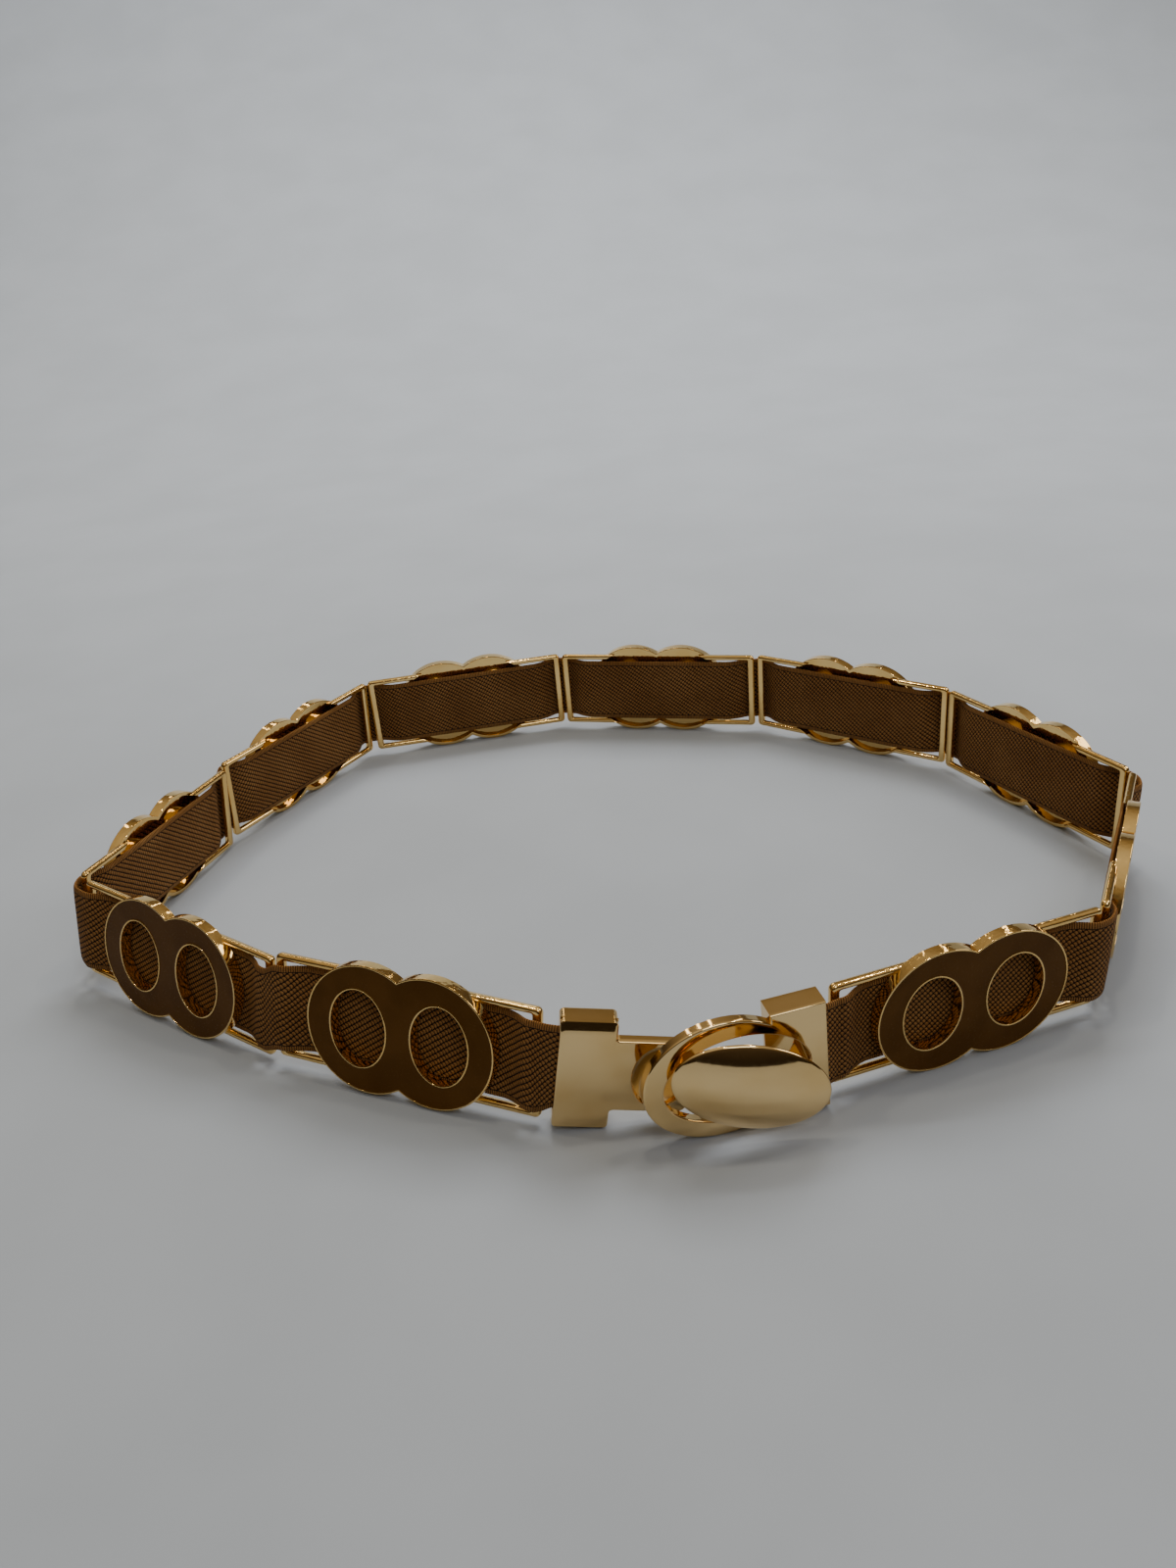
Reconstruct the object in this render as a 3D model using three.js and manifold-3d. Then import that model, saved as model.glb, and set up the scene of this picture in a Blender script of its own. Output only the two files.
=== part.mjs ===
// A belt that stands on its lower edge as a closed loop. Ten equal pierced castings ride on one elastic band,
// and the band's ends are held in the two halves of a fastened clasp. Millimetres, +Z up.
// The belt's origin is on the floor, at the middle of its footprint. The clasp faces -Y.
// Each piece is drawn in its own frame: X to the right as seen from outside the loop, Z up, -Y outward.
import * as THREE from "three";
import { mergeVertices } from "three/addons/utils/BufferGeometryUtils.js";
import Module from "manifold-3d";

const wasm = await Module();
wasm.setup();

// Driving dimensions. "Out" is measured outward from the middle plane of a link's frame.
const GAP = 0.3; // clearance between pieces that touch in the real belt
const THROUGH = 1; // how far a cutter runs past the face it opens
const frame = {
  length: 78.2,
  height: 30,
  bar: 2,
  post: 2.6,
  depth: 2.4,
  corner: 1.6,
  innerCorner: 0.4,
};
const plate = {
  lobeRadius: 18,
  lobeSpacing: 19.2,
  faceOut: 3.8,
  backOut: 0.2,
  skin: 1.8,
  wall: 1.3,
  lobeSteps: 10,
};
const aperture = { width: 16.4, height: 21.6, spacing: 24, steps: 12 };
const recess = { margin: 0.7, depth: 0.9, sideGap: 0.2 };
const inlay = { thickness: 0.5 };
const band = { width: 25, thickness: 1.3, stepsPerSpan: 2 };
const clasp = {
  blockWidth: 14.1,
  blockHeight: 31.8,
  blockDepth: 7,
  blockCorner: 1.2,
  slotBehindFace: 1,
  slotDepth: 4,
  slotMiddle: 17.2,
};
const neck = { thickness: 2.6, height: 21.4, length: 22, tipHeight: 12, middle: 16.4, root: 1 };
const eyelet = { x: 25.2, width: 12.8, height: 17.8, depth: 2, steps: 16 };
const boss = { x: 33.5, width: 6, height: 6.5, middle: 21 };
const paddle = {
  x: 45.4,
  middle: 22.9,
  width: 38.9,
  height: 24.4,
  backOut: 9.2,
  core: 0.4,
  bevel: 2.1,
  bevelInset: 3.6,
  bevelSteps: 3,
  tilt: -6.3,
  steps: 24,
};
const ring = { x: -26.8, middle: 16.5, width: 39.8, height: 33.6, thickness: 2.7, steps: 30 };
const ringOpening = { x: -23.2, middle: 15.8, width: 37, height: 24.2, depth: 5.4, steps: 28 };

// Where each link's middle stands, which way its X runs, how far its top leans in and how far it tilts in its
// own plane, round the loop against the clock from the clasp's ring half to its hook half.
const links = [
  { x: 85.5, y: -99.2, yaw: 16.6, lean: 0, tilt: 0 },
  { x: 142.6, y: -52.0, yaw: 61.8, lean: -2, tilt: 0 },
  { x: 144.2, y: 19.9, yaw: 115.7, lean: 0, tilt: 0 },
  { x: 96.6, y: 81.1, yaw: 141.5, lean: 0, tilt: 0 },
  { x: 26.6, y: 115.2, yaw: 165.0, lean: 0, tilt: 0 },
  { x: -51.1, y: 120.7, yaw: 188.3, lean: 0, tilt: 0 },
  { x: -113.3, y: 82.5, yaw: 236.5, lean: 4, tilt: 0 },
  { x: -147.8, y: 11.2, yaw: 250.4, lean: 6, tilt: -3.0 },
  { x: -127.4, y: -52.5, yaw: 324.9, lean: 12, tilt: 2.5 },
  { x: -58.3, y: -93.2, yaw: 335.0, lean: 13, tilt: 1.0 },
];
// The face corner of each clasp block that is next to its link, and how the half is turned and tilted.
const ringHalf = { x: 47.3, y: -116.8, yaw: 11.2, tilt: -2.4 };
const hookHalf = { x: -22.3, y: -116.7, yaw: 1, tilt: 9.7 };

// The band's way past one link, from one end post to the other.
const bandRoute = [
  { x: -38.2, out: 2.6 },
  { x: -36.0, out: 2.5 },
  { x: -32.3, out: 0.5 },
  { x: -28.9, out: -0.7 },
  { x: -26.0, out: -0.8 },
  { x: 26.0, out: -0.8 },
  { x: 28.9, out: -0.7 },
  { x: 32.3, out: 0.5 },
  { x: 36.0, out: 2.5 },
  { x: 38.2, out: 2.6 },
];

const polished = { metalness: 1, roughness: 0.15 };
const materials = {
  gold: new THREE.MeshStandardMaterial({ color: 0xd9b87a, ...polished }),
  enamel: new THREE.MeshStandardMaterial({ color: 0x3f2c17, metalness: 0, roughness: 0.2 }),
  webbing: new THREE.MeshStandardMaterial({ color: 0x6b4a26, metalness: 0, roughness: 0.9 }),
};
const radians = THREE.MathUtils.degToRad;

// Outlines, drawn as width and height seen from outside

function ellipsePoints({ x = 0, middle = 0, width, height, tilt = 0, steps }) {
  const points = [];
  for (let i = 0; i < steps; i++) {
    const angle = (2 * Math.PI * i) / steps;
    const point = new THREE.Vector2((width / 2) * Math.cos(angle), (height / 2) * Math.sin(angle));
    points.push(point.rotateAround(new THREE.Vector2(), radians(tilt)).add(new THREE.Vector2(x, middle)));
  }
  return points;
}

// Two overlapping discs: from the notch below, round the right lobe, over the notch above and back.
function lobePoints(inset) {
  const radius = plate.lobeRadius - inset;
  const half = plate.lobeSpacing / 2;
  const reach = Math.PI - Math.acos(half / radius);
  const points = [];
  for (const side of [1, -1]) {
    for (let i = 0; i < plate.lobeSteps; i++) {
      const angle = -reach + (2 * reach * i) / plate.lobeSteps;
      points.push(
        new THREE.Vector2(side * (half + radius * Math.cos(angle)), side * radius * Math.sin(angle)),
      );
    }
  }
  return points;
}

// The plate's outline with its two windows; the metal between them is narrower by the inset on every side.
function platePattern(inset) {
  const shape = new THREE.Shape(lobePoints(inset));
  for (const side of [-1, 1]) {
    const hole = ellipsePoints({
      x: (side * aperture.spacing) / 2,
      width: aperture.width + 2 * inset,
      height: aperture.height + 2 * inset,
      steps: aperture.steps,
    });
    shape.holes.push(new THREE.Path(hole));
  }
  return shape;
}

function rectanglePoints(left, right, bottom, top, corner) {
  const cut = corner * (1 - Math.SQRT1_2);
  const points = [];
  const corners = [
    { x: right, z: bottom, sx: -1, sz: 1 },
    { x: right, z: top, sx: -1, sz: -1 },
    { x: left, z: top, sx: 1, sz: -1 },
    { x: left, z: bottom, sx: 1, sz: 1 },
  ];
  for (const [i, { x, z, sx, sz }] of corners.entries()) {
    const arc = [
      new THREE.Vector2(x + sx * corner, z),
      new THREE.Vector2(x + sx * cut, z + sz * cut),
      new THREE.Vector2(x, z + sz * corner),
    ];
    points.push(...(i % 2 ? arc.reverse() : arc));
  }
  return points;
}

// Solids

// A shape as a slab that reaches outward from one distance to another.
function slab(shape, fromOut, toOut, bevel = {}) {
  const options = { depth: toOut - fromOut, bevelEnabled: false, ...bevel };
  return new THREE.ExtrudeGeometry(shape, options).rotateX(Math.PI / 2).translate(0, -fromOut, 0);
}

function solid(geometry) {
  geometry.deleteAttribute("normal");
  geometry.deleteAttribute("uv");
  const merged = mergeVertices(geometry);
  return new wasm.Manifold(
    new wasm.Mesh({
      numProp: 3,
      vertProperties: merged.attributes.position.array,
      triVerts: new Uint32Array(merged.index.array),
    }),
  );
}

function geometryOf(body) {
  const { vertProperties, triVerts } = body.getMesh();
  const indexed = new THREE.BufferGeometry()
    .setAttribute("position", new THREE.BufferAttribute(vertProperties, 3))
    .setIndex(new THREE.BufferAttribute(triVerts, 1));
  const geometry = indexed.toNonIndexed();
  geometry.computeVertexNormals();
  return geometry;
}

function shapeOf(points) {
  return new THREE.Shape(points);
}

// Frame bars end inside the plate's rim, so the plate's hollow back stays open.
function frameBars() {
  const { length, height, bar, post, depth, corner, innerCorner } = frame;
  const outline = shapeOf(rectanglePoints(-length / 2, length / 2, -height / 2, height / 2, corner));
  const opening = rectanglePoints(
    post - length / 2,
    length / 2 - post,
    bar - height / 2,
    height / 2 - bar,
    innerCorner,
  );
  outline.holes.push(new THREE.Path(opening));
  const behindPlate = slab(shapeOf(lobePoints(plate.wall / 2)), -depth, plate.faceOut);
  return solid(slab(outline, -depth / 2, depth / 2)).subtract(solid(behindPlate));
}

// One link: a hollow-backed plate with walls round its rim and windows, a recessed face, and the frame.
function linkCasting() {
  const { faceOut, backOut, skin, wall } = plate;
  const plateBody = solid(slab(platePattern(0), backOut, faceOut));
  const hollowBack = solid(slab(platePattern(wall), backOut - THROUGH, faceOut - skin));
  const faceRecess = solid(slab(platePattern(recess.margin), faceOut - recess.depth, faceOut + THROUGH));
  return plateBody.subtract(hollowBack).subtract(faceRecess).add(frameBars());
}

function inlayBody() {
  const backOut = plate.faceOut - recess.depth + recess.sideGap;
  return solid(slab(platePattern(recess.margin + recess.sideGap), backOut, backOut + inlay.thickness));
}

// A clasp block from its outer side at X 0; the body lies to the right or left, and a slot holds the band.
function claspBlock(side) {
  const { blockWidth, blockHeight, blockDepth, blockCorner } = clasp;
  const edges = [0, side * blockWidth].sort((a, b) => a - b);
  const points = rectanglePoints(edges[0], edges[1], 0, blockHeight, blockCorner);
  return solid(slab(shapeOf(points), -blockDepth, 0));
}

function bandSlot(side) {
  const height = band.width + 2 * GAP;
  const { slotDepth, slotMiddle, slotBehindFace } = clasp;
  const edges = [-side * THROUGH, side * slotDepth].sort((a, b) => a - b);
  const outline = rectanglePoints(edges[0], edges[1], slotMiddle - height / 2, slotMiddle + height / 2, GAP);
  const frontOut = -slotBehindFace;
  return solid(slab(shapeOf(outline), frontOut - band.thickness - 2 * GAP, frontOut));
}

function domedPaddle() {
  const { bevel, bevelInset, bevelSteps, width, height, core, backOut } = paddle;
  const flat = { ...paddle, width: width - 2 * bevelInset, height: height - 2 * bevelInset };
  const bevels = { bevelEnabled: true, bevelThickness: bevel, bevelSize: bevelInset, bevelSegments: bevelSteps };
  return solid(slab(shapeOf(ellipsePoints(flat)), backOut + bevel, backOut + bevel + core, bevels));
}

// Hook half: block, neck with its eyelet, and the paddle that stands forward of the neck on a boss.
function claspHook() {
  const start = clasp.blockWidth - neck.root;
  const end = clasp.blockWidth + neck.length;
  const neckOutline = [
    new THREE.Vector2(start, neck.middle - neck.height / 2),
    new THREE.Vector2(eyelet.x + eyelet.width / 2, neck.middle - neck.height / 2),
    new THREE.Vector2(end, neck.middle - neck.tipHeight / 2),
    new THREE.Vector2(end, neck.middle + neck.tipHeight / 2),
    new THREE.Vector2(eyelet.x + eyelet.width / 2, neck.middle + neck.height / 2),
    new THREE.Vector2(start, neck.middle + neck.height / 2),
  ];
  const bossShape = shapeOf(
    rectanglePoints(
      boss.x - boss.width / 2,
      boss.x + boss.width / 2,
      boss.middle - boss.height / 2,
      boss.middle + boss.height / 2,
      clasp.blockCorner,
    ),
  );
  const eyeletShape = shapeOf(ellipsePoints({ ...eyelet, middle: neck.middle }));
  const neckBody = solid(slab(shapeOf(neckOutline), -neck.thickness, 0));
  return claspBlock(1)
    .subtract(bandSlot(1))
    .add(neckBody.subtract(solid(slab(eyeletShape, -eyelet.depth, THROUGH))))
    .add(solid(slab(bossShape, -neck.thickness / 2, paddle.backOut + paddle.bevel)))
    .add(domedPaddle());
}

// Ring half: block and oval ring share one flat face, and the opening runs on into the block as a pocket.
function claspRing() {
  const ringBody = solid(slab(shapeOf(ellipsePoints(ring)), -ring.thickness, 0));
  const opening = solid(slab(shapeOf(ellipsePoints(ringOpening)), -ringOpening.depth, THROUGH));
  return claspBlock(-1).add(ringBody).subtract(opening).subtract(bandSlot(-1));
}

// Assembly

function piece(name, geometry, material) {
  const mesh = new THREE.Mesh(geometry, material);
  mesh.name = name;
  return mesh;
}

// Turns a group on the spot, then lifts or lowers it until its lowest point is on the floor.
function standOnFloor(group) {
  group.updateMatrixWorld(true);
  group.position.z -= new THREE.Box3().setFromObject(group, true).min.z;
  group.updateMatrixWorld(true);
  return group;
}

function linkGroup(number, place, castingGeometry, inlayGeometry) {
  const label = String(number).padStart(2, "0");
  const leaning = new THREE.Group();
  leaning.rotation.set(-radians(place.lean), radians(place.tilt), 0);
  leaning.add(piece(`link_${label}`, castingGeometry, materials.gold));
  leaning.add(piece(`inlay_${label}`, inlayGeometry, materials.enamel));
  const turned = new THREE.Group();
  turned.position.set(place.x, place.y, 0);
  turned.rotation.z = radians(place.yaw);
  turned.add(leaning);
  return standOnFloor(turned);
}

function claspGroup(place, mesh) {
  const tilted = new THREE.Group();
  tilted.rotation.y = radians(place.tilt);
  tilted.add(mesh);
  const turned = new THREE.Group();
  turned.position.set(place.x, place.y, 0);
  turned.rotation.z = radians(place.yaw);
  turned.add(tilted);
  return standOnFloor(turned);
}

// A stop on the band's way: its middle and the direction of its width, from a point of a piece's frame.
function bandStop(mesh, x, out, z) {
  const middle = new THREE.Vector3(x, -out, z).applyMatrix4(mesh.matrixWorld);
  const up = new THREE.Vector3(0, 0, 1).transformDirection(mesh.matrixWorld);
  const ahead = new THREE.Vector3(1, 0, 0).transformDirection(mesh.matrixWorld);
  return { middle, up, ahead };
}

// The stop that rounds the bend between two pieces: pushed outward from the chord as on an arc.
function bendStop(before, after) {
  const chord = after.middle.clone().sub(before.middle);
  const rise = Math.tan(before.ahead.angleTo(after.ahead) / 4) / 2;
  const up = before.up.clone().add(after.up).normalize();
  const outward = chord.clone().cross(up).multiplyScalar(rise);
  return { middle: before.middle.clone().addScaledVector(chord, 0.5).add(outward), up };
}

function bandStops(ringMesh, castings, hookMesh) {
  const { slotBehindFace, slotDepth, slotMiddle } = clasp;
  const slotOut = -(slotBehindFace + GAP + band.thickness / 2);
  const inSlot = slotDepth - GAP;
  const stops = [bandStop(ringMesh, -inSlot, slotOut, slotMiddle), bandStop(ringMesh, 0, slotOut, slotMiddle)];
  for (const casting of castings) {
    const passing = bandRoute.map(({ x, out }) => bandStop(casting, x, out, 0));
    stops.push(bendStop(stops.at(-1), passing[0]), ...passing);
  }
  const entering = bandStop(hookMesh, 0, slotOut, slotMiddle);
  stops.push(bendStop(stops.at(-1), entering), entering, bandStop(hookMesh, inSlot, slotOut, slotMiddle));
  return stops;
}

// The band: a flat section carried along a smooth curve through the stops, standing on its edge.
function bandGeometry(stops) {
  const curve = new THREE.CatmullRomCurve3(
    stops.map((stop) => stop.middle),
    false,
    "centripetal",
  );
  const spans = stops.length - 1;
  const stations = spans * band.stepsPerSpan;
  const positions = [];
  for (let i = 0; i <= stations; i++) {
    const place = i / stations;
    const along = Math.min(Math.floor(place * spans), spans - 1);
    const up = stops[along].up.clone().lerp(stops[along + 1].up, place * spans - along).normalize();
    const ahead = curve.getTangent(place);
    const outward = ahead.cross(up).setLength(band.thickness / 2);
    up.multiplyScalar(band.width / 2);
    const middle = curve.getPoint(place);
    for (const [sideOut, sideUp] of [[-1, -1], [1, -1], [1, 1], [-1, 1]]) {
      const corner = middle.clone().addScaledVector(outward, sideOut).addScaledVector(up, sideUp);
      positions.push(corner.x, corner.y, corner.z);
    }
  }
  const faces = [0, 1, 2, 0, 2, 3];
  for (let i = 0; i < stations; i++) {
    for (let k = 0; k < 4; k++) {
      const [a, b] = [4 * i + k, 4 * i + ((k + 1) % 4)];
      faces.push(a, a + 4, b + 4, a, b + 4, b);
    }
  }
  const last = 4 * stations;
  faces.push(last, last + 2, last + 1, last, last + 3, last + 2);
  const indexed = new THREE.BufferGeometry()
    .setAttribute("position", new THREE.Float32BufferAttribute(positions, 3))
    .setIndex(faces);
  const geometry = indexed.toNonIndexed();
  geometry.computeVertexNormals();
  return geometry;
}

function buildBelt() {
  const belt = new THREE.Group();
  belt.name = "belt";
  const castingGeometry = geometryOf(linkCasting());
  const inlayGeometry = geometryOf(inlayBody());
  const castings = links.map((place, i) => {
    const group = linkGroup(i + 1, place, castingGeometry, inlayGeometry);
    belt.add(group);
    return group.children[0].children[0];
  });
  const ringMesh = piece("clasp_ring", geometryOf(claspRing()), materials.gold);
  const hookMesh = piece("clasp_hook", geometryOf(claspHook()), materials.gold);
  belt.add(claspGroup(ringHalf, ringMesh), claspGroup(hookHalf, hookMesh));
  const stops = bandStops(ringMesh, castings, hookMesh);
  belt.add(piece("webbing", bandGeometry(stops), materials.webbing));
  const footprint = new THREE.Box3().setFromObject(belt, true);
  const middle = footprint.getCenter(new THREE.Vector3());
  belt.position.set(-middle.x, -middle.y, -footprint.min.z);
  return belt;
}

export default buildBelt();
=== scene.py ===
"""The looks of a belt of pierced castings on a woven elastic band, standing on its lower edge.

Every piece is drawn in its own plane in millimetres, X to the right and Z up as seen from
outside the loop and -Y outward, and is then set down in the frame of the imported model.
"""

from __future__ import annotations

import logging
import math
from collections.abc import Iterable, Sequence
from dataclasses import dataclass, replace
from enum import Enum

import bmesh
import bpy
from mathutils import Matrix, Vector, geometry

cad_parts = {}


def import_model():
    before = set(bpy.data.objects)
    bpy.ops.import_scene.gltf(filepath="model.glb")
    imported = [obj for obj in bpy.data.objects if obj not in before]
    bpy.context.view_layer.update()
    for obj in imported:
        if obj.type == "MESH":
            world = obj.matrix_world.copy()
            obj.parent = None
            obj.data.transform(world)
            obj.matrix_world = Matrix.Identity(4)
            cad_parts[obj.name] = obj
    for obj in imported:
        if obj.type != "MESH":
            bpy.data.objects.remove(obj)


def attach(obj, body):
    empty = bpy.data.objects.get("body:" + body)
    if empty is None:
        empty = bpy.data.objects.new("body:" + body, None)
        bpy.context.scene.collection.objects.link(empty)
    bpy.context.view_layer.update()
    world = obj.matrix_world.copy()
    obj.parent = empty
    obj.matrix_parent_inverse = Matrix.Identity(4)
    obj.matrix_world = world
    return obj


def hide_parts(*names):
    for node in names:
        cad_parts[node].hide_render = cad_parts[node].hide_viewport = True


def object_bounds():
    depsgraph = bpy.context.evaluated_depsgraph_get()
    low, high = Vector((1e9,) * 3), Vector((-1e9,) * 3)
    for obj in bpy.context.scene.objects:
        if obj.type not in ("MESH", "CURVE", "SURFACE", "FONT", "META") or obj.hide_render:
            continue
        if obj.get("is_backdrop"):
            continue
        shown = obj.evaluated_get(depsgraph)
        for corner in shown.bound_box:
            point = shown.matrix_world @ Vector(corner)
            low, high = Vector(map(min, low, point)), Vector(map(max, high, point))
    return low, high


LOG = logging.getLogger("belt")
# Metres in a millimetre.
MM = 0.001
# Brings the middle of the stands' plan to the origin, in millimetres.
LOOP_SHIFT = Vector((0.335, 0.24, 0.0))
# Edges that bend less than this are shaded smooth.
SMOOTH_UNDER = math.radians(38)
# Least divisor of a mitre, so that a sharp corner is not drawn out.
MITRE_FLOOR = 0.2
# Segments of a rounded edge.
EDGE_STEPS = 3

Point = tuple[float, float]
Profile = Sequence[Point]
Colour = tuple[float, float, float]
Place = tuple[float, float, float]
# The levels of a noise or a height at which an effect starts and is full.
Span = tuple[float, float]


# Outlines


class Loop:
    """A closed outline in a piece's own plane, in millimetres, with its material on the left."""

    def __init__(self, points: Iterable[Point]) -> None:
        """Keeps the outline's (across, up) points, in order."""
        self.points = [(float(x), float(z)) for x, z in points]

    @classmethod
    def oval(
        cls, width: float, height: float, centre: Point = (0, 0), tilt: float = 0, steps: int = 96
    ) -> Loop:
        """Draws an ellipse against the clock.

        Args:
            width: Full width before tilting.
            height: Full height before tilting.
            centre: Middle of the ellipse.
            tilt: Turn in degrees, against the clock.
            steps: Number of points.

        Returns:
            The outline.
        """
        turn = Matrix.Rotation(math.radians(tilt), 2)
        points = []
        for i in range(steps):
            angle = 2 * math.pi * i / steps
            point = turn @ Vector((width / 2 * math.cos(angle), height / 2 * math.sin(angle)))
            points.append((point.x + centre[0], point.y + centre[1]))
        return cls(points)

    @classmethod
    def filleted(cls, corners: Sequence[tuple[float, float, float]], steps: int = 6) -> Loop:
        """Draws straight edges between corners that are each rounded by a radius.

        Args:
            corners: (across, up, radius) rows against the clock.
            steps: Segments of each rounded corner.

        Returns:
            The outline.
        """
        points: list[Point] = []
        for i, (x, z, radius) in enumerate(corners):
            here = Vector((x, z))
            before = (Vector(corners[i - 1][:2]) - here).normalized()
            after = (Vector(corners[(i + 1) % len(corners)][:2]) - here).normalized()
            if radius <= 0:
                points.append((x, z))
                continue
            half = before.angle(after) / 2
            middle = here + (before + after).normalized() * (radius / math.sin(half))
            start = here + before * (radius / math.tan(half)) - middle
            sweep = start.angle_signed(here + after * (radius / math.tan(half)) - middle)
            for k in range(steps + 1):
                spoke = Matrix.Rotation(-sweep * k / steps, 2) @ start
                points.append(tuple(middle + spoke))
        return cls(points)

    @classmethod
    def block(cls, left: float, right: float, bottom: float, top: float, radius: float) -> Loop:
        """Draws a rectangle with its four corners rounded by a radius."""
        corners = ((left, bottom), (right, bottom), (right, top), (left, top))
        return cls.filleted([(x, z, radius) for x, z in corners])

    def reverse(self) -> Loop:
        """Returns the outline the other way round, as an opening needs it."""
        return Loop(reversed(self.points))

    def mirror(self) -> Loop:
        """Returns the outline mirrored left to right, with its material still on the left."""
        return Loop((-x, z) for x, z in reversed(self.points))

    def inset(self, distance: float) -> list[Point]:
        """Moves the outline into its material by an even distance.

        Args:
            distance: How far to move it.

        Returns:
            The moved points.
        """
        if not distance:
            return list(self.points)
        moved = []
        count = len(self.points)
        for i, (x, z) in enumerate(self.points):
            here = Vector((x, z))
            first = (here - Vector(self.points[i - 1])).normalized()
            second = (Vector(self.points[(i + 1) % count]) - here).normalized()
            left_first = Vector((-first.y, first.x))
            left_second = Vector((-second.y, second.x))
            mitre = (left_first + left_second) / max(1 + left_first.dot(left_second), MITRE_FLOOR)
            moved.append((x + mitre.x * distance, z + mitre.y * distance))
        return moved


def rounded_edge(at: float, towards: float, radius: float, steps: int) -> list[Point]:
    """Gives the profile rows of one rounded edge, from the side wall round to the face.

    Args:
        at: The face's distance outward.
        towards: 1 where the face looks outward, -1 where it looks inward.
        radius: Radius of the edge.
        steps: Segments of the curve.

    Returns:
        (inset, outward) rows from the wall to the face.
    """
    rows = []
    for k in range(steps + 1):
        angle = math.pi / 2 * k / steps
        rows.append((radius * (1 - math.cos(angle)), at - towards * radius * (1 - math.sin(angle))))
    return rows


def slab_profile(
    back: float, front: float, back_edge: float = 0, front_edge: float = 0, steps: int = EDGE_STEPS
) -> list[Point]:
    """Gives the profile of a slab with rounded edges.

    Args:
        back: Where the slab starts, outward.
        front: Where the slab ends, outward.
        back_edge: Radius of the edges behind, or 0.
        front_edge: Radius of the edges in front, or 0.
        steps: Segments of each rounded edge.

    Returns:
        (inset, outward) rows from the back face to the front face.
    """
    behind = rounded_edge(back, -1, back_edge, steps)[::-1] if back_edge else [(0, back)]
    ahead = rounded_edge(front, 1, front_edge, steps) if front_edge else [(0, front)]
    return [*behind, *ahead]


# Meshes


def add_object(name: str, data: bpy.types.ID) -> bpy.types.Object:
    """Makes an object and puts it in the scene.

    Args:
        name: The object's name.
        data: Its mesh, lamp or camera.

    Returns:
        The new object.
    """
    made = bpy.data.objects.new(name, data)
    bpy.context.scene.collection.objects.link(made)
    return made


class Draft:
    """Collects the vertices and faces of one piece, in millimetres of its own frame."""

    def __init__(self) -> None:
        """Starts an empty piece."""
        self.vertices: list[Vector] = []
        self.faces: list[tuple[int, ...]] = []

    def ring(self, points: Iterable[Point], out: float) -> list[int]:
        """Adds a ring of vertices at one distance outward.

        Args:
            points: (across, up) pairs.
            out: Distance outward.

        Returns:
            The new vertices' numbers.
        """
        start = len(self.vertices)
        self.vertices.extend(Vector((x, -out, z)) for x, z in points)
        return list(range(start, len(self.vertices)))

    def skin(self, rings: Sequence[Sequence[int]]) -> None:
        """Joins each ring to the next with quads.

        Args:
            rings: The rings' vertices, as many in each.
        """
        for first, second in zip(rings, rings[1:]):
            for i in range(len(first)):
                j = (i + 1) % len(first)
                self.faces.append((first[i], first[j], second[j], second[i]))

    def cap(self, rings: Sequence[Sequence[int]], outward: bool) -> None:
        """Closes one face of a slab, leaving its openings free.

        Args:
            rings: The outer ring and the rings of the openings.
            outward: True where the face looks outward.
        """
        numbers = [n for ring in rings for n in ring]
        flat = [[Vector((self.vertices[n].x, self.vertices[n].z, 0)) for n in ring] for ring in rings]
        for a, b, c in geometry.tessellate_polygon(flat):
            face = (numbers[a], numbers[b], numbers[c])
            self.faces.append(face if outward else face[::-1])

    def press(self, loops: Sequence[Loop], profile: Profile) -> None:
        """Adds a body whose edges all follow one profile.

        Args:
            loops: The outline, and its openings the other way round.
            profile: (inset, outward) rows from the first face to the last.
        """
        rings = [[self.ring(loop.inset(inset), out) for inset, out in profile] for loop in loops]
        for rows in rings:
            self.skin(rows)
        rising = profile[-1][1] > profile[0][1]
        self.cap([rows[0] for rows in rings], not rising)
        self.cap([rows[-1] for rows in rings], rising)

    def dome(self, rows: Sequence[tuple[Iterable[Point], float]], crown: tuple[float, float, float]) -> None:
        """Adds a body of rings that ends in one point.

        Args:
            rows: (points, outward) of each ring, the first one flat and closed.
            crown: Across, outward and up of the end point.
        """
        rings = [self.ring(points, out) for points, out in rows]
        self.skin(rings)
        self.cap([rings[0]], False)
        across, out, up = crown
        self.vertices.append(Vector((across, -out, up)))
        tip, last = len(self.vertices) - 1, rings[-1]
        for i in range(len(last)):
            self.faces.append((last[i], last[(i + 1) % len(last)], tip))

    def lowest(self, turn: Matrix) -> float:
        """Returns the height of the lowest vertex after a turn."""
        return min((turn @ v).z for v in self.vertices)

    def build(self, name: str, place: Matrix) -> bpy.types.Object:
        """Makes the object, in metres.

        Args:
            name: The piece's name.
            place: Where it goes, in millimetres.

        Returns:
            The new object.
        """
        mesh = bpy.data.meshes.new(name)
        mesh.from_pydata([(place @ v) * MM for v in self.vertices], [], self.faces)
        tidy = bmesh.new()
        tidy.from_mesh(mesh)
        bmesh.ops.recalc_face_normals(tidy, faces=tidy.faces)
        for face in tidy.faces:
            face.smooth = True
        for edge in tidy.edges:
            edge.smooth = edge.calc_face_angle(0) < SMOOTH_UNDER
        tidy.to_mesh(mesh)
        tidy.free()
        piece = add_object(name, mesh)
        even = piece.modifiers.new("even_normals", "WEIGHTED_NORMAL")
        even.keep_sharp = True
        return piece


# Where the pieces stand


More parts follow.
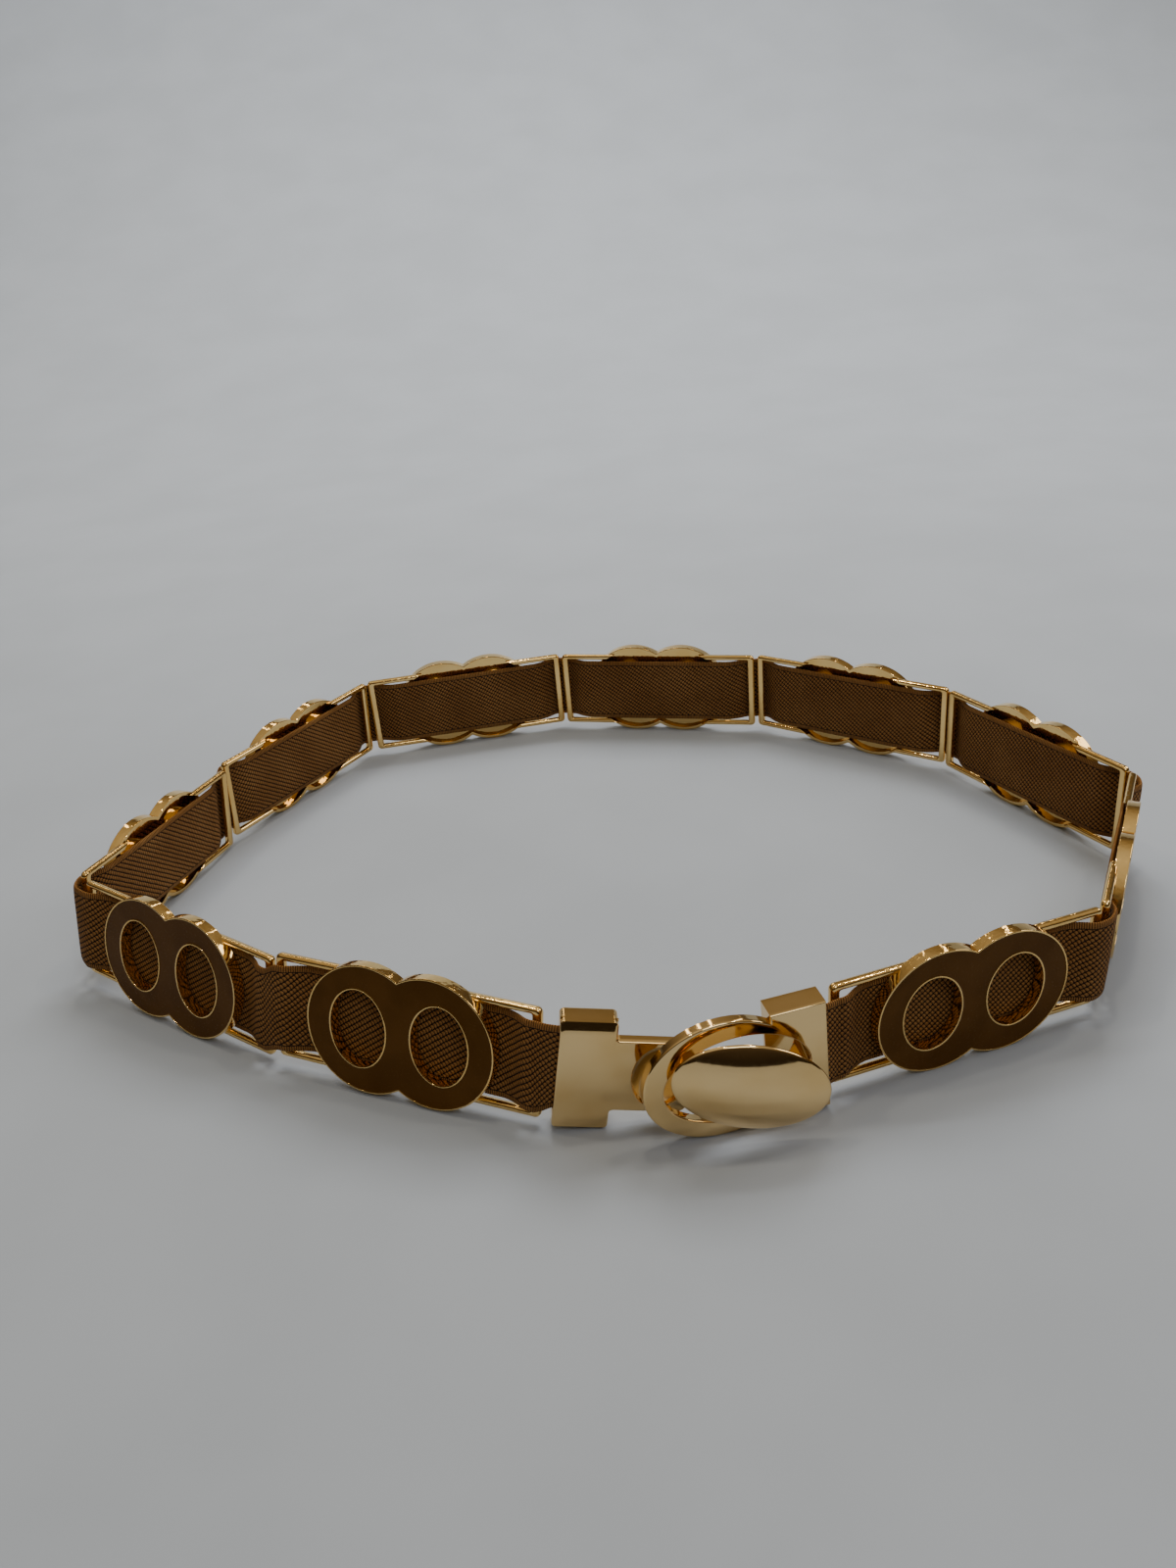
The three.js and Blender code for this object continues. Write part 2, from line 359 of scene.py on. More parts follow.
@dataclass(frozen=True)
class Stand:
    """Where a piece's own origin stands on the floor plan, and how it is turned, leaned and tilted.

    The place is in millimetres and the angles are in degrees.
    """

    x: float
    y: float
    yaw: float
    lean: float = 0.0
    tilt: float = 0.0

    def turn(self) -> Matrix:
        """Works out the turn alone.

        Returns:
            The turn.
        """
        upright = Matrix.Rotation(math.radians(self.yaw), 4, "Z")
        leaned = Matrix.Rotation(-math.radians(self.lean), 4, "X")
        return upright @ leaned @ Matrix.Rotation(math.radians(self.tilt), 4, "Y")

    def place(self, draft: Draft) -> Matrix:
        """Sets a piece's lowest point on the floor.

        Args:
            draft: The piece that touches the floor.

        Returns:
            The whole placing, in millimetres.
        """
        turn = self.turn()
        spot = Vector((self.x, self.y, -draft.lowest(turn))) + LOOP_SHIFT
        return Matrix.Translation(spot) @ turn


# Against the clock, from the link to the right of the clasp.
LINK_STANDS = (
    Stand(85.5, -99.2, 16.6),
    Stand(142.6, -52.0, 61.8, lean=-2),
    Stand(144.2, 19.9, 115.7),
    Stand(96.6, 81.1, 141.5),
    Stand(26.6, 115.2, 165.0),
    Stand(-51.1, 120.7, 188.3),
    Stand(-113.3, 82.5, 236.5, lean=4),
    Stand(-147.8, 11.2, 250.4, lean=6, tilt=-3.0),
    Stand(-127.4, -52.5, 324.9, lean=12, tilt=2.5),
    Stand(-58.3, -93.2, 335.0, lean=13, tilt=1.0),
)
RING_STAND = Stand(47.3, -116.8, 11.2, tilt=-2.4)
HOOK_STAND = Stand(-22.3, -116.7, 1, tilt=9.7)


# Finishes


class Wire:
    """A shader value: expressions on it add Math nodes."""

    def __init__(self, bench: Bench, socket: bpy.types.NodeSocket) -> None:
        """Wraps an output socket that carries a number, on the bench that its nodes go to."""
        self.bench = bench
        self.socket = socket

    def _maths(self, operation: str, *values: Wire | float) -> Wire:
        """Adds one Math node with its inputs in order, and returns the result."""
        return self.bench.value("ShaderNodeMath", {"operation": operation}, dict(enumerate(values)))

    def __add__(self, other: Wire | float) -> Wire:
        """Adds."""
        return self._maths("ADD", self, other)

    def __radd__(self, other: float) -> Wire:
        """Adds, reflected."""
        return self._maths("ADD", other, self)

    def __sub__(self, other: Wire | float) -> Wire:
        """Subtracts."""
        return self._maths("SUBTRACT", self, other)

    def __rsub__(self, other: float) -> Wire:
        """Subtracts, reflected."""
        return self._maths("SUBTRACT", other, self)

    def __mul__(self, other: Wire | float) -> Wire:
        """Multiplies."""
        return self._maths("MULTIPLY", self, other)

    def __rmul__(self, other: float) -> Wire:
        """Multiplies, reflected."""
        return self._maths("MULTIPLY", other, self)

    def __truediv__(self, other: Wire | float) -> Wire:
        """Divides."""
        return self._maths("DIVIDE", self, other)

    def __rtruediv__(self, other: float) -> Wire:
        """Divides, reflected."""
        return self._maths("DIVIDE", other, self)

    def __pow__(self, other: Wire | float) -> Wire:
        """Raises to a power."""
        return self._maths("POWER", self, other)

    def __rpow__(self, other: float) -> Wire:
        """Raises to a power, reflected."""
        return self._maths("POWER", other, self)

    def fraction(self) -> Wire:
        """Returns the part after the decimal point."""
        return self._maths("FRACT", self)

    def sine(self) -> Wire:
        """Returns the sine."""
        return self._maths("SINE", self)

    def size(self) -> Wire:
        """Returns the value without its sign."""
        return self._maths("ABSOLUTE", self)

    def ramp(self, low: float, high: float) -> Wire:
        """Returns a smooth rise from 0 at low to 1 at high."""
        values = {"Value": self, "From Min": low, "From Max": high}
        return self.bench.value("ShaderNodeMapRange", {"interpolation_type": "SMOOTHSTEP"}, values)


class Bench:
    """Builds the nodes of one material or world."""

    # Where a Mix node keeps its factor, its two colours and the mixed colour.
    MIX_FACTOR, MIX_FIRST, MIX_SECOND, MIX_COLOUR = 0, 6, 7, 2

    def __init__(self, owner: bpy.types.Material | bpy.types.World) -> None:
        """Empties the node tree.

        Args:
            owner: The material or world.
        """
        owner.use_nodes = True
        self.owner = owner
        self.nodes = owner.node_tree.nodes
        self.links = owner.node_tree.links
        self.nodes.clear()

    def node(self, kind: str, settings: dict[str, object], values: dict[str | int, object]) -> bpy.types.Node:
        """Adds a node.

        Args:
            kind: The node's type.
            settings: Its own settings, set first, with a ramp's (place, colour) rows under "stops".
            values: A value or link for each named or numbered input.

        Returns:
            The node.
        """
        made = self.nodes.new(kind)
        for key, value in settings.items():
            if key == "stops":
                self.set_stops(made.color_ramp, value)
            else:
                setattr(made, key, value)
        for key, value in values.items():
            self.feed(made.inputs[key], value)
        return made

    @staticmethod
    def set_stops(ramp: bpy.types.ColorRamp, stops: Sequence[tuple[float, Colour]]) -> None:
        """Sets a ramp's stops.

        Args:
            ramp: The ramp, with the two stops that it starts with.
            stops: (place, colour) rows, the first and last for those two.
        """
        for place, _ in stops[1:-1]:
            ramp.elements.new(place)
        for element, (place, colour) in zip(ramp.elements, stops):
            element.position = place
            element.color = (*colour, 1.0)

    def feed(self, socket: bpy.types.NodeSocket, value: object) -> None:
        """Sets or links one input.

        Args:
            socket: The input.
            value: A Wire, a socket, a number, or a colour of three numbers.
        """
        if isinstance(value, Wire):
            self.links.new(value.socket, socket)
        elif isinstance(value, bpy.types.NodeSocket):
            self.links.new(value, socket)
        elif isinstance(value, tuple) and len(value) == 3 and socket.type == "RGBA":
            socket.default_value = (*value, 1.0)
        else:
            socket.default_value = value

    def value(self, kind: str, settings: dict[str, object], values: dict[str | int, object]) -> Wire:
        """Adds a node and returns its first output as a number."""
        return Wire(self, self.node(kind, settings, values).outputs[0])

    def mix(self, factor: Wire | float, first: object, second: object) -> bpy.types.NodeSocket:
        """Mixes two colours or colour sockets by the share of the second, and returns a socket."""
        values = {self.MIX_FACTOR: factor, self.MIX_FIRST: first, self.MIX_SECOND: second}
        return self.node("ShaderNodeMix", {"data_type": "RGBA"}, values).outputs[self.MIX_COLOUR]

    def noise(self, scale: float, detail: float = 3.0, place: bpy.types.NodeSocket | None = None) -> Wire:
        """Adds noise fixed to the object's own space.

        Args:
            scale: Cells to the metre, or to the unit of place.
            detail: Octaves.
            place: A vector socket, or None for the object's own coordinates.

        Returns:
            The noise value.
        """
        if place is None:
            place = self.node("ShaderNodeTexCoord", {}, {}).outputs["Object"]
        return self.value("ShaderNodeTexNoise", {}, {"Vector": place, "Scale": scale, "Detail": detail})


class PaintBench(Bench):
    """Builds one surface material round its shader."""

    def __init__(self, name: str) -> None:
        """Makes a material with a plain shader.

        Args:
            name: The material's name.
        """
        super().__init__(bpy.data.materials.new(name))
        self.shader = self.node("ShaderNodeBsdfPrincipled", {}, {})
        self.node("ShaderNodeOutputMaterial", {}, {"Surface": self.shader.outputs[0]})

    def bump(self, height: Wire, distance: float) -> None:
        """Feeds the shader's normal from a height of 0 to 1, which stands for a distance in metres."""
        made = self.node("ShaderNodeBump", {}, {"Height": height, "Distance": distance, "Strength": 1.0})
        self.feed(self.shader.inputs["Normal"], made.outputs[0])

    def shade(self, **sockets: object) -> bpy.types.Material:
        """Sets the shader's inputs.

        Args:
            sockets: Input names, with underscores for spaces, and their values.

        Returns:
            The finished material.
        """
        for key, value in sockets.items():
            self.feed(self.shader.inputs[key.replace("_", " ")], value)
        return self.owner


@dataclass(frozen=True)
class GoldPlate:
    """Polished warm gold plating with faint haze and rub marks, over slightly uneven cast metal.

    Wave, ripple and rub are heights in metres. Cells are counted to the metre. Patches and hazed
    are the noise levels between which the deeper colour and the haze come in.
    """

    name: str
    colour: Colour = (0.90, 0.63, 0.26)
    deep: Colour = (0.82, 0.53, 0.18)
    patches: Span = (0.35, 0.7)
    roughness: float = 0.07
    haze: float = 0.04
    hazed: Span = (0.45, 0.8)
    wave: float = 0.00006
    wave_cells: float = 55.0
    ripple: float = 0.000003
    ripple_cells: float = 600.0
    rub: float = 0.0000015
    rub_cells: float = 900.0

    def make(self) -> bpy.types.Material:
        """Makes the material.

        Returns:
            The material.
        """
        bench = PaintBench(self.name)
        wave = bench.noise(self.wave_cells)
        ripple = bench.noise(self.ripple_cells, detail=1.0)
        rub = bench.noise(self.rub_cells, detail=4.0)
        relief = self.wave + self.ripple + self.rub
        height = wave * (self.wave / relief) + ripple * (self.ripple / relief) + rub * (self.rub / relief)
        bench.bump(height, relief)
        return bench.shade(
            Base_Color=bench.mix(wave.ramp(*self.patches), self.colour, self.deep),
            Metallic=1.0,
            Roughness=self.roughness + rub.ramp(*self.hazed) * self.haze,
        )


@dataclass(frozen=True)
class BrownEnamel:
    """Dark brown enamel with a soft gloss that pools a little unevenly.

    The pooling is a height in metres. Cells are counted to the metre. Patches and dusted are the
    noise levels between which the lighter colour and the dust come in.
    """

    colour: Colour = (0.082, 0.034, 0.005)
    light: Colour = (0.108, 0.047, 0.009)
    patches: Span = (0.3, 0.7)
    roughness: float = 0.22
    dust: float = 0.12
    dust_cells: float = 1600.0
    dusted: Span = (0.55, 0.75)
    pool: float = 0.00003
    pool_cells: float = 80.0
    gloss: float = 0.11
    gloss_tint: Colour = (1.0, 0.68, 0.34)

    def make(self) -> bpy.types.Material:
        """Makes the material.

        Returns:
            The material.
        """
        bench = PaintBench("brown_enamel")
        pool = bench.noise(self.pool_cells, detail=2.0)
        dust = bench.noise(self.dust_cells, detail=2.0)
        bench.bump(pool, self.pool)
        return bench.shade(
            Base_Color=bench.mix(pool.ramp(*self.patches), self.colour, self.light),
            Roughness=self.roughness + dust.ramp(*self.dusted) * self.dust,
            Specular_IOR_Level=self.gloss,
            Specular_Tint=self.gloss_tint,
        )


@dataclass(frozen=True)
class WovenElastic:
    """Brown elastic webbing: slanting rows of chained stitches between ribbed selvedges.

    The sizes are in millimetres, as the piece's surface coordinates are, apart from the relief,
    which is in metres. Dip is the share of the height that is left between two stitches or ribs,
    and furrow between body and selvedge. Where the relief is low, in the gaps between stitches,
    rows and selvedge ribs and along the furrow, the thread's colour falls to a near-black painted
    shade. Faded and lit are the levels between which the worn colour and the thread come in.
    """

    row: float = 1.4
    stitch: float = 1.0
    slant: float = 36.0
    chevron: float = 0.3
    wander: float = 0.3
    wander_cells: float = 0.3
    selvedge: float = 1.8
    selvedge_rib: float = 0.62
    selvedge_blend: float = 0.1
    groove: float = 0.25
    half_width: float = 12.5
    dip: float = 0.1
    furrow: float = 0.15
    # Near-black painted shade for the low parts of the weave: the gaps between stitches, rows and selvedge
    # ribs, and the furrow.
    dark: Colour = (0.008, 0.002, 0.0003)
    thread: Colour = (0.255, 0.110, 0.026)
    worn: Colour = (0.385, 0.190, 0.058)
    fuzz_cells: float = 3.5
    fuzz_wear: float = 0.7
    fuzz_relief: float = 0.08
    cloud_cells: float = 0.05
    cloud_wear: float = 0.5
    faded: Span = (0.45, 0.8)
    lit: Span = (0.12, 0.62)
    relief: float = 0.00045
    roughness: float = 0.85
    rubbed: float = 0.1
    gloss: float = 0.2

    def body(self, along: Wire, across: Wire, wander: Wire) -> Wire:
        """Works out the relief of the slanting rows of stitches.

        Args:
            along: Place along the band.
            across: Place across the band.
            wander: How far the rows stray from straight.

        Returns:
            The relief, from 0 to 1.
        """
        tilt = math.radians(self.slant)
        on_row = along * math.cos(tilt) + across * math.sin(tilt)
        over_rows = across * math.cos(tilt) - along * math.sin(tilt) + wander
        from_crest = ((over_rows / self.row).fraction() - 0.5).size()
        crest = 1 - (from_crest * 2.0) ** 2.0
        stitch = ((on_row / self.stitch + from_crest * self.chevron + wander).fraction() - 0.5) * 2.0
        bead = 1 - stitch.size() ** 2.0
        return crest * (bead * (1 - self.dip) + self.dip)

    def make(self) -> bpy.types.Material:
        """Makes the material.

        Returns:
            The material.
        """
        bench = PaintBench("woven_elastic")
        spot = bench.node("ShaderNodeUVMap", {}, {}).outputs[0]
        split = bench.node("ShaderNodeSeparateXYZ", {}, {0: spot})
        along, across = Wire(bench, split.outputs[0]), Wire(bench, split.outputs[1])
        wander = (bench.noise(self.wander_cells, detail=2.0, place=spot) - 0.5) * self.wander
        body = self.body(along, across, wander)
        rib = (along / self.selvedge_rib * math.pi).sine().size() * (1 - self.dip) + self.dip
        start = self.half_width - self.selvedge
        rim = across.size().ramp(start - self.selvedge_blend, start + self.selvedge_blend)
        away = (across.size() - start).size().ramp(0.0, self.groove)
        height = (body * (1 - rim) + rib * rim) * (away * (1 - self.furrow) + self.furrow)
        fuzz = bench.noise(self.fuzz_cells, detail=4.0, place=spot)
        cloud = bench.noise(self.cloud_cells, detail=3.0, place=spot)
        wear = (fuzz * self.fuzz_wear + cloud * self.cloud_wear).ramp(*self.faded)
        thread = bench.mix(wear, self.thread, self.worn)
        bench.bump(height * (1 - self.fuzz_relief) + fuzz * self.fuzz_relief, self.relief)
        return bench.shade(
            # Painted shade: the colour falls from the thread to near black where the relief is low.
            Base_Color=bench.mix(height.ramp(*self.lit), self.dark, thread),
            Roughness=self.roughness - height * self.rubbed,
            Specular_IOR_Level=self.gloss,
        )


@dataclass(frozen=True)
class PaleFloor:
    """A plain pale floor with the faintest mottling, in cells to the metre."""

    colour: Colour = (0.35, 0.392, 0.465)
    mottled: float = 0.94
    mottle_cells: float = 14.0
    patches: Span = (0.3, 0.7)
    roughness: float = 0.7

    def make(self) -> bpy.types.Material:
        """Makes the material.

        Returns:
            The material.
        """
        bench = PaintBench("pale_floor")
        patches = bench.noise(self.mottle_cells, detail=4.0).ramp(*self.patches)
        darker = tuple(self.mottled * c for c in self.colour)
        return bench.shade(Base_Color=bench.mix(patches, self.colour, darker), Roughness=self.roughness)


class Finish(Enum):
    """The finishes."""

    CAST_GOLD = "cast_gold"
    CLASP_GOLD = "clasp_gold"
    ENAMEL = "enamel"
    WEBBING = "webbing"

    def slot(self) -> str:
        """Returns the material slot that the finish stands for, the last word of its name."""
        return self.value.split("_")[-1]


class Wardrobe:
    """Makes each finish once and dresses pieces in it."""

    def __init__(self) -> None:
        """Makes the finishes."""
        self.finishes = {
            Finish.CAST_GOLD: GoldPlate("cast_gold", ripple=0.00007).make(),
            Finish.CLASP_GOLD: GoldPlate(
                "clasp_gold", colour=(0.88, 0.64, 0.31), deep=(0.81, 0.56, 0.24)
            ).make(),
            Finish.ENAMEL: BrownEnamel().make(),
            Finish.WEBBING: WovenElastic().make(),
        }

    def dress(self, piece: bpy.types.Object, finish: Finish, node: str) -> None:
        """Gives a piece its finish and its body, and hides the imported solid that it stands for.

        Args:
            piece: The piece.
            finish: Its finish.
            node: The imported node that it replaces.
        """
        piece.data.materials.clear()
        piece.data.materials.append(self.finishes[finish])
        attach(piece, "root")
        finish.slot()
        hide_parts(node)
        LOG.info("%s: %d faces", piece.name, len(piece.data.polygons))


# Links


@dataclass(frozen=True)
class Link:
    """One casting: a two-lobed plate with a hollow back and two windows, in a thin rectangular frame.

    The sizes are in millimetres. Distances out are measured from the middle of the frame's depth.
    The rolls are (inset, outward) rows round an edge: the rim's inner and outer edge, from the
    recess outward, and the wall's edge behind. The meniscus rows are its inset from the rim and
    its share of the height.
    """

    length: float = 78.2
    height: float = 30.0
    bar: float = 2.0
    post: float = 2.6
    depth: float = 2.4
    corner: float = 1.6
    inner_corner: float = 0.4
    bar_edge: float = 0.95
    bar_edge_steps: int = 5
    lobe_radius: float = 18.0
    lobe_spacing: float = 19.2
    face_out: float = 3.8
    back_out: float = 0.2
    skin: float = 1.8
    wall: float = 1.3
    tuck: float = 0.1
    rim: float = 0.5
    recess: float = 0.9
    inner_roll: tuple[Point, ...] = ((0.0, -0.15), (-0.05, -0.04), (-0.16, 0.0))
    outer_roll: tuple[Point, ...] = ((0.22, 0.0), (0.07, -0.06), (0.0, -0.2))
    back_roll: tuple[Point, ...] = ((0.0, 0.25), (0.08, 0.07), (0.25, 0.0))
    enamel_out: float = 3.62
    enamel_gap: float = 0.05
    meniscus: float = 0.1
    meniscus_rows: tuple[Point, ...] = ((0.0, 1.0), (0.12, 0.4), (0.4, 0.0))
    window_width: float = 16.4
    window_height: float = 21.6
    window_spacing: float = 24.0
    lobe_steps: int = 56

    def lobes(self) -> Loop:
        """Draws the outline of two overlapping discs.

        Returns:
            The outline.
        """
        half = self.lobe_spacing / 2
        reach = math.pi - math.acos(half / self.lobe_radius)
        points = []
        for side in (1, -1):
            for i in range(self.lobe_steps):
                angle = -reach + 2 * reach * i / self.lobe_steps
                across = half + self.lobe_radius * math.cos(angle)
                points.append((side * across, side * self.lobe_radius * math.sin(angle)))
        return Loop(points)

    def pattern(self) -> list[Loop]:
        """Draws the plate.

        Returns:
            The plate's outline and its two windows.
        """
        windows = [
            Loop.oval(self.window_width, self.window_height, (side * self.window_spacing / 2, 0)).reverse()
            for side in (-1, 1)
        ]
        return [self.lobes(), *windows]

    def plate_profile(self) -> list[Point]:
        """Works out the profile from the recess over the rim and down into the hollow back.

        Returns:
            (inset, outward) rows.
        """
        front, back = self.face_out, self.back_out
        return [
            (self.rim, front - self.recess),
            *((self.rim + inset, front + out) for inset, out in self.inner_roll),
            *((inset, front + out) for inset, out in self.outer_roll),
            *((inset, back + out) for inset, out in self.back_roll),
            *((self.wall - inset, back + out) for inset, out in reversed(self.back_roll)),
            (self.wall, front - self.skin),
        ]

    def bracket(self) -> Loop:
        """Draws the right post with its two arms, which end inside the plate's wall.

        Returns:
            The outline.
        """
        top, right = self.height / 2, self.length / 2
        inner_top, inner_right = top - self.bar, right - self.post
        hidden = self.lobe_radius - self.wall + self.tuck
        far = self.lobe_spacing / 2 + math.sqrt(hidden**2 - top**2)
        near = self.lobe_spacing / 2 + math.sqrt(hidden**2 - inner_top**2)
        return Loop.filleted(
            [
                (far, -top, 0),
                (right, -top, self.corner),
                (right, top, self.corner),
                (far, top, 0),
                (near, inner_top, 0),
                (inner_right, inner_top, self.inner_corner),
                (inner_right, -inner_top, self.inner_corner),
                (near, -inner_top, 0),
            ]
        )

    def casting(self) -> Draft:
        """Draws the gold casting.

        Returns:
            The draft of plate and frame.
        """
        draft = Draft()
        draft.press(self.pattern(), self.plate_profile())
        half = self.depth / 2
        bar_profile = slab_profile(-half, half, self.bar_edge, self.bar_edge, self.bar_edge_steps)
        right = self.bracket()
        for bracket in (right, right.mirror()):
            draft.press([bracket], bar_profile)
        return draft

    def enamel(self) -> Draft:
        """Draws the enamel that fills the recess, drawn up a little along the rim.

        Returns:
            The enamel's draft.
        """
        draft = Draft()
        rim, out, height = self.rim, self.enamel_out, self.meniscus
        profile = [
            (rim, self.face_out - self.recess + self.enamel_gap),
            *((rim + inset, out + share * height) for inset, share in self.meniscus_rows),
        ]
        draft.press(self.pattern(), profile)
        return draft

    def build(self, wardrobe: Wardrobe) -> list[Matrix]:
        """Builds and dresses every link.

        Args:
            wardrobe: The finishes.

        Returns:
            Each link's placing.
        """
        casting, enamel = self.casting(), self.enamel()
        places = [stand.place(casting) for stand in LINK_STANDS]
        for i, place in enumerate(places, start=1):
            wardrobe.dress(casting.build(f"casting_{i:02d}", place), Finish.CAST_GOLD, f"link_{i:02d}")
            wardrobe.dress(enamel.build(f"enamel_{i:02d}", place), Finish.ENAMEL, f"inlay_{i:02d}")
        return places


# Clasp


@dataclass(frozen=True)
class ClaspBlock:
    """The block at the band's end that both halves of the clasp share.

    The sizes are in millimetres. Its front face lies at 0 outward, and the band's end sits in a
    slot behind that face.
    """

    width: float = 14.1
    height: float = 31.8
    depth: float = 7.0
    corner: float = 1.2
    edge: float = 0.8
    slot_behind_face: float = 1.0
    slot_depth: float = 4.0
    slot_middle: float = 17.2
    slot_height: float = 25.6
    slot_thickness: float = 1.9

    def slot(self, side: int) -> list[Point]:
        """Returns the slot's notch from its lower corner up, cut to the right for side 1, else left."""
        low, high = (self.slot_middle + way * self.slot_height / 2 for way in (-1, 1))
        return [(0, low), (side * self.slot_depth, low), (side * self.slot_depth, high), (0, high)]

    def slot_back(self) -> float:
        """Returns how far out the slot's rear wall is."""
        return -self.slot_behind_face - self.slot_thickness


@dataclass(frozen=True)
class HookHalf:
    """Block, neck with its eyelet, and the domed oval paddle that stands forward on a boss.

    The sizes are in millimetres from the block's lower outer corner. The paddle's edge is given by
    (inset, outward) rows from its back, and the crown of the face by rows of inset, outward and
    how far the upper edge falls away.
    """

    block: ClaspBlock = ClaspBlock()
    neck_thickness: float = 2.6
    neck_height: float = 21.4
    neck_length: float = 22.0
    neck_middle: float = 16.4
    low_fillet: float = 0.9
    high_fillet: float = 0.5
    shoulder_radius: float = 3.0
    tip_height: float = 12.0
    tip_radius: float = 2.0
    eyelet_across: float = 25.2
    eyelet_width: float = 12.8
    eyelet_height: float = 17.8
    eyelet_depth: float = 2.45
    eyelet_wall: float = 1.3
    bowl_overlap: float = 0.4
    boss_centre: Point = (33.5, 21.0)
    boss_width: float = 6.0
    boss_height: float = 6.5
    boss_corner: float = 1.2
    boss_into_paddle: float = 1.4
    paddle_centre: Point = (45.4, 22.9)
    paddle_width: float = 38.9
    paddle_height: float = 24.4
    paddle_back: float = 9.2
    paddle_tilt: float = -6.3
    paddle_edge: tuple[Point, ...] = (
        (2.4, 0.0),
        (1.2, 0.12),
        (0.4, 0.35),
        (0.0, 0.7),
        (0.0, 1.0),
        (0.12, 1.25),
        (0.34, 1.45),
    )
    dome_rise: float = 3.0
    dome_steps: int = 18
    crown_above_neck: float = 0.2
    crown: tuple[tuple[float, float, float], ...] = (
        (0.0, -1.0, 0.0),
        (0.02, -0.94, 0.08),
        (0.04, -0.74, 0.66),
        (0.07, -0.54, 1.23),
        (0.11, -0.34, 1.79),
        (0.2, -0.17, 2.25),
        (0.32, -0.06, 2.65),
        (0.46, -0.01, 3.0),
        (0.6, 0.0, 3.4),
    )

    def face(self, slotted: bool) -> list[Loop]:
        """Draws block and neck together, and the eyelet.

        Args:
            slotted: True where the band's slot cuts into the outline.

        Returns:
            The outline and the opening.
        """
        block = self.block
        slot = [(x, z, 0) for x, z in reversed(block.slot(1))] if slotted else []
        shoulder = self.eyelet_across + self.eyelet_width / 2
        end = block.width + self.neck_length
        low, high = (self.neck_middle + side * self.neck_height / 2 for side in (-1, 1))
        tip_low, tip_high = (self.neck_middle + side * self.tip_height / 2 for side in (-1, 1))
        outline = Loop.filleted(
            [
                (0, 0, block.corner),
                (block.width, 0, block.corner),
                (block.width, low, self.low_fillet),
                (shoulder, low, self.shoulder_radius),
                (end, tip_low, self.tip_radius),
                (end, tip_high, self.tip_radius),
                (shoulder, high, self.shoulder_radius),
                (block.width, high, self.high_fillet),
                (block.width, block.height, block.corner),
                (0, block.height, block.corner),
                *slot,
            ]
        )
        return [outline, self.eyelet().reverse()]

    def eyelet(self, wider: float = 0.0, scale: float = 1.0) -> Loop:
        """Draws the eyelet, made wider and taller by an amount and then scaled."""
        width, height = (self.eyelet_width + wider) * scale, (self.eyelet_height + wider) * scale
        return Loop.oval(width, height, (self.eyelet_across, self.neck_middle))

    def paddle_ring(self, inset: float, scale: float = 1.0) -> list[Point]:
        """Draws the paddle's outline.

        Args:
            inset: How far it is drawn in.
            scale: Share of that size.

        Returns:
            The outline's points.
        """
        width = (self.paddle_width - 2 * inset) * scale
        height = (self.paddle_height - 2 * inset) * scale
        return Loop.oval(width, height, self.paddle_centre, self.paddle_tilt).points

    def add_paddle(self, draft: Draft) -> None:
        """Adds the paddle with its thick rounded edge and domed face.

        Args:
            draft: The hook half's draft.
        """
        back = self.paddle_back
        rows = [(self.paddle_ring(inset), back + out) for inset, out in self.paddle_edge]
        inset, top = self.paddle_edge[-1]
        for k in range(1, self.dome_steps):
            scale = 1 - k / self.dome_steps
            rows.append((self.paddle_ring(inset, scale), back + top + self.dome_rise * (1 - scale**2)))
        across, up = self.paddle_centre
        draft.dome(rows, (across, back + top + self.dome_rise, up))

    def add_face(self, draft: Draft) -> None:
        """Adds the front of block and neck, whose upper edge falls away in a soft crown.

        Args:
            draft: The hook half's draft.
        """
        lip = self.neck_middle + self.neck_height / 2 + self.crown_above_neck
        rings = []
        for loop in self.face(False):
            rows = []
            for inset, out, fall in self.crown:
                points = [(x, z - fall if z > lip else z) for x, z in loop.inset(inset)]
                rows.append(draft.ring(points, out))
            draft.skin(rows)
            rings.append(rows)
        draft.cap([rows[0] for rows in rings], False)
        draft.cap([rows[-1] for rows in rings], True)

    def add_bowl(self, draft: Draft) -> None:
        """Adds the eyelet's hollow floor.

        Args:
            draft: The hook half's draft.
        """
        rings = []
        for k in range(self.dome_steps):
            scale = 1 - k / self.dome_steps
            deep = self.eyelet_wall + (self.eyelet_depth - self.eyelet_wall) * (1 - scale**3)
            rings.append(draft.ring(self.eyelet(self.bowl_overlap, scale).points, -deep))
        draft.skin(rings)
        draft.cap([rings[-1]], True)

    def draft(self) -> Draft:
        """Draws the whole hook half.

        Returns:
            Its draft.
        """
        draft = Draft()
        block = self.block
        right, top = block.width, block.height
        front, back, neck_back = -block.slot_behind_face, block.slot_back(), -self.neck_thickness
        self.add_face(draft)
        draft.press(self.face(True), slab_profile(neck_back, front))
        self.add_bowl(draft)
        slotted = Loop([(right, 0), (right, top), (0, top), *reversed(block.slot(1)), (0, 0)])
        draft.press([slotted], slab_profile(back, neck_back))
        body = Loop.block(0, right, 0, top, block.corner)
        draft.press([body], slab_profile(-block.depth, back, block.edge))
        across, up = self.boss_centre
        wide, tall = self.boss_width / 2, self.boss_height / 2
        boss = Loop.block(across - wide, across + wide, up - tall, up + tall, self.boss_corner)
        draft.press([boss], slab_profile(neck_back / 2, self.paddle_back + self.boss_into_paddle))
        self.add_paddle(draft)
        return draft

    def build(self, wardrobe: Wardrobe) -> Matrix:
        """Builds and dresses the hook half.

        Args:
            wardrobe: The finishes.

        Returns:
            Its placing.
        """
        draft = self.draft()
        place = HOOK_STAND.place(draft)
        wardrobe.dress(draft.build("hook_half", place), Finish.CLASP_GOLD, "clasp_hook")
        return place


